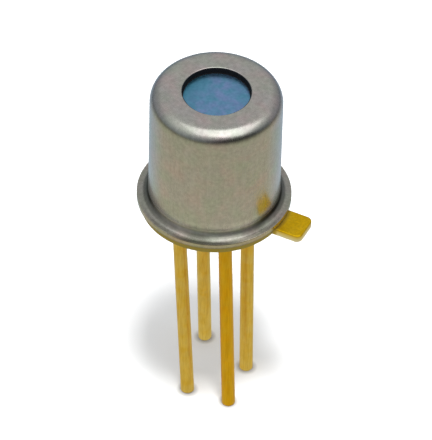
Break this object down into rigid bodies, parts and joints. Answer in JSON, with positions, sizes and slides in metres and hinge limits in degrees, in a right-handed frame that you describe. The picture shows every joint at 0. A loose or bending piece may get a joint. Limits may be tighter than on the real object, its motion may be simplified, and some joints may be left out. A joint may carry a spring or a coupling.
{
  "type": "thermopile sensor",
  "caption": "Infrared thermopile sensor in a round metal can with a recessed filter window, a weld flange, a locating tab and gold-plated wire leads for a circuit board.",
  "frame": {"origin": "centre of the header's underside, the plane that seats on the circuit board, at the middle of the lead circle", "axes": "+X through the locating tab, +Z along the can's axis from the leads towards the window"},
  "size_m": [0.0063, 0.0054, 0.0138],
  "materials": {
    "nickel": "satin nickel plate with faint vertical drawing marks",
    "gold_plate": "matt gold plate",
    "filter_silicon": "polished coated silicon, opaque in visible light",
    "black_epoxy": "cured adhesive",
    "seal_glass": "fused sealing glass",
    "braze": "matt",
    "chip_silicon": "polished silicon",
    "absorber_black": "matt",
    "silver_epoxy": "satin",
    "thermistor_ceramic": "matt",
    "gold_wire": "bright"
  },
  "bodies": {
    "root": {"cap": "nickel", "ir_filter": "filter_silicon", "filter_adhesive": "black_epoxy", "header": "gold_plate", "glass_seal_1": "seal_glass", "glass_seal_2": "seal_glass", "glass_seal_3": "seal_glass", "lead_1": "gold_plate", "lead_2": "gold_plate", "lead_3": "gold_plate", "lead_4": "gold_plate", "lead_braze": "braze", "thermopile_chip": "chip_silicon", "absorber": "absorber_black", "chip_adhesive": "silver_epoxy", "thermistor": "thermistor_ceramic", "thermistor_adhesive": "silver_epoxy", "bond_wire_1": "gold_wire", "bond_wire_2": "gold_wire", "bond_wire_3": "gold_wire"}
  },
  "joints": []
}
